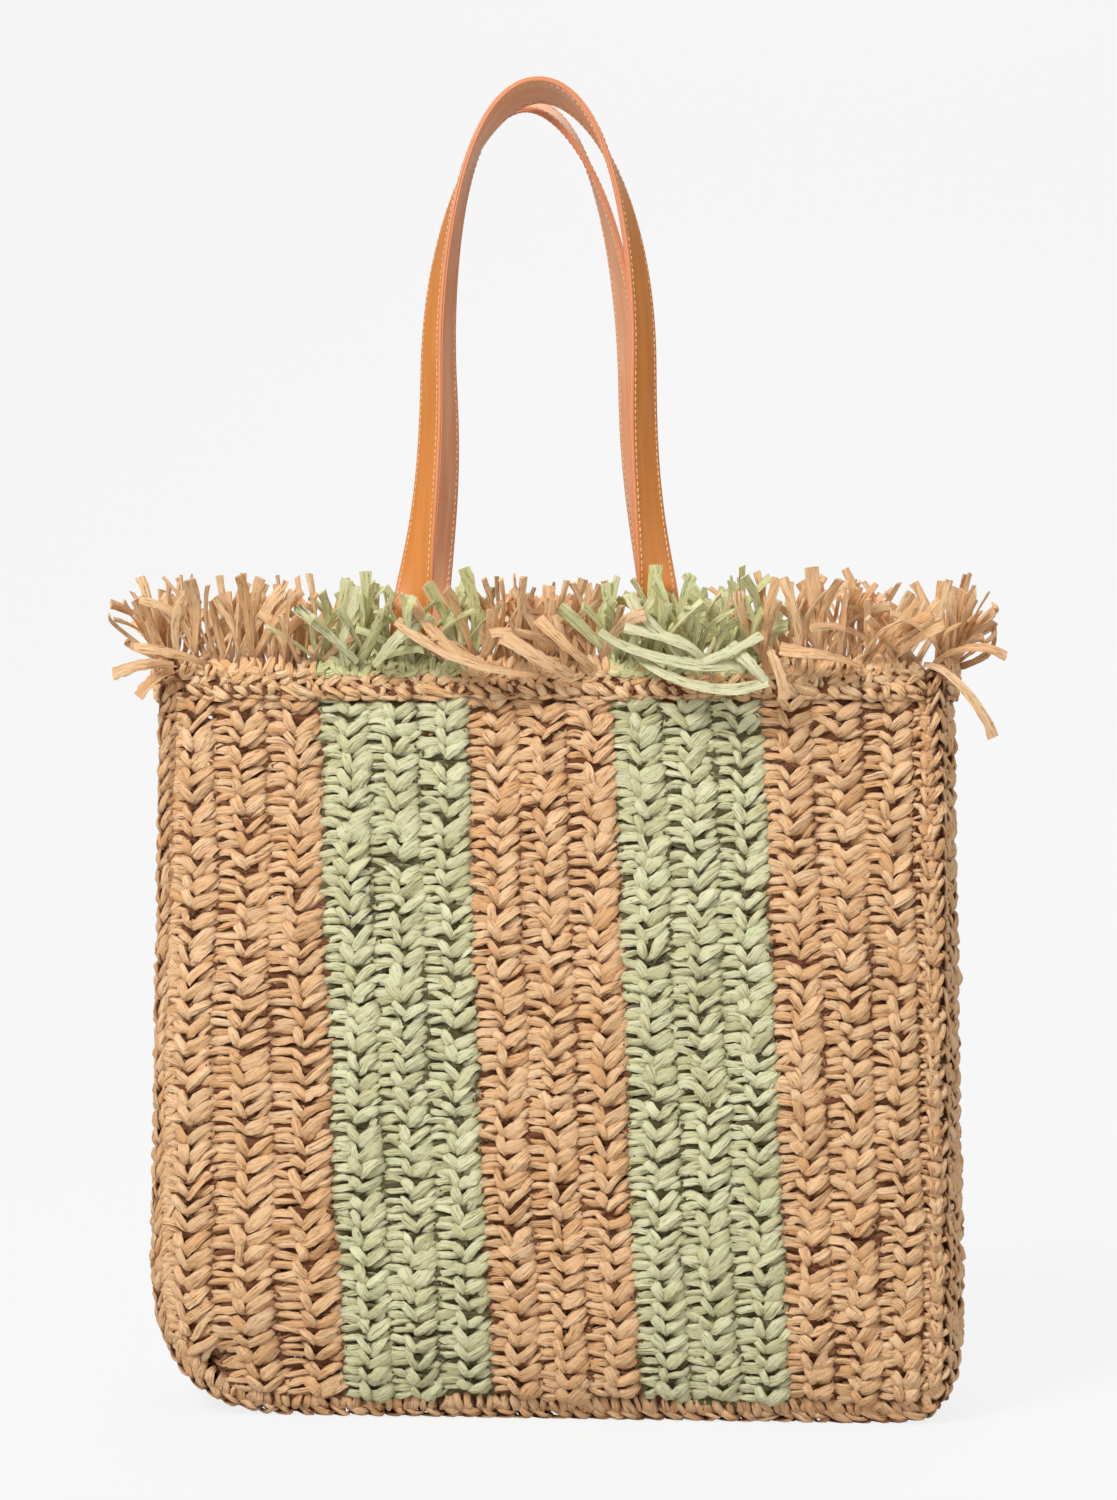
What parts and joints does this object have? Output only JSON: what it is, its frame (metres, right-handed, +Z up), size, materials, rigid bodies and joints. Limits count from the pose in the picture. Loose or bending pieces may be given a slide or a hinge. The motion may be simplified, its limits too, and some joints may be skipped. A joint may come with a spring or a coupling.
{
  "type": "crocheted straw beach bag",
  "caption": "Open-topped crocheted straw tote with tan and green stripes, braided seams, a knotted fringe round the rim and twin arched leather handles that fold down outside.",
  "frame": {"origin": "middle of the base, on the surface that the bag stands on", "axes": "+Z up, the bag's front faces -Y, +X is to the right seen from the front"},
  "size_m": [0.4228, 0.124, 0.6576],
  "materials": {
    "tan_straw": "crocheted paper-straw ribbon, satin",
    "green_straw": "crocheted paper-straw ribbon, satin",
    "leather": "smooth tan leather with painted edges",
    "lining": "pale matt leather",
    "thread": "waxed sewing thread"
  },
  "bodies": {
    "bag": {"front_tan_left": "tan_straw", "front_green_left": "green_straw", "front_tan_middle": "tan_straw", "front_green_right": "green_straw", "front_tan_right": "tan_straw", "back_tan_left": "tan_straw", "back_green_left": "green_straw", "back_tan_middle": "tan_straw", "back_green_right": "green_straw", "back_tan_right": "tan_straw", "gusset_left": "tan_straw", "gusset_right": "tan_straw", "base": "tan_straw", "seam_front": "tan_straw", "seam_back": "tan_straw", "rim_front": "tan_straw", "rim_back": "tan_straw", "rim_left": "tan_straw", "rim_right": "tan_straw", "fringe_front_tan_left": "tan_straw", "fringe_front_green_left": "green_straw", "fringe_front_tan_middle": "tan_straw", "fringe_front_green_right": "green_straw", "fringe_front_tan_right": "tan_straw", "fringe_back_tan_left": "tan_straw", "fringe_back_green_left": "green_straw", "fringe_back_tan_middle": "tan_straw", "fringe_back_green_right": "green_straw", "fringe_back_tan_right": "tan_straw", "fringe_left": "tan_straw", "fringe_right": "tan_straw", "front_left_strap_end": "leather", "front_right_strap_end": "leather", "back_left_strap_end": "leather", "back_right_strap_end": "leather", "front_left_end_stitching": "thread", "front_right_end_stitching": "thread", "back_left_end_stitching": "thread", "back_right_end_stitching": "thread"},
    "front_handle": {"front_handle_leather": "leather", "front_handle_lining": "lining", "front_handle_stitching": "thread"},
    "back_handle": {"back_handle_leather": "leather", "back_handle_lining": "lining", "back_handle_stitching": "thread"}
  },
  "joints": [
    {"name": "front_handle_swing", "type": "hinge", "parent": "bag", "child": "front_handle", "pos_m": [0, -0.045, 0.37], "axis": [1, 0, 0], "range_deg": [0, 175], "deforming": ["fringe_front_green_left", "fringe_front_green_right"]},
    {"name": "back_handle_swing", "type": "hinge", "parent": "bag", "child": "back_handle", "pos_m": [0, 0.045, 0.37], "axis": [-1, 0, 0], "range_deg": [0, 175], "deforming": ["fringe_back_green_left", "fringe_back_green_right"]}
  ]
}
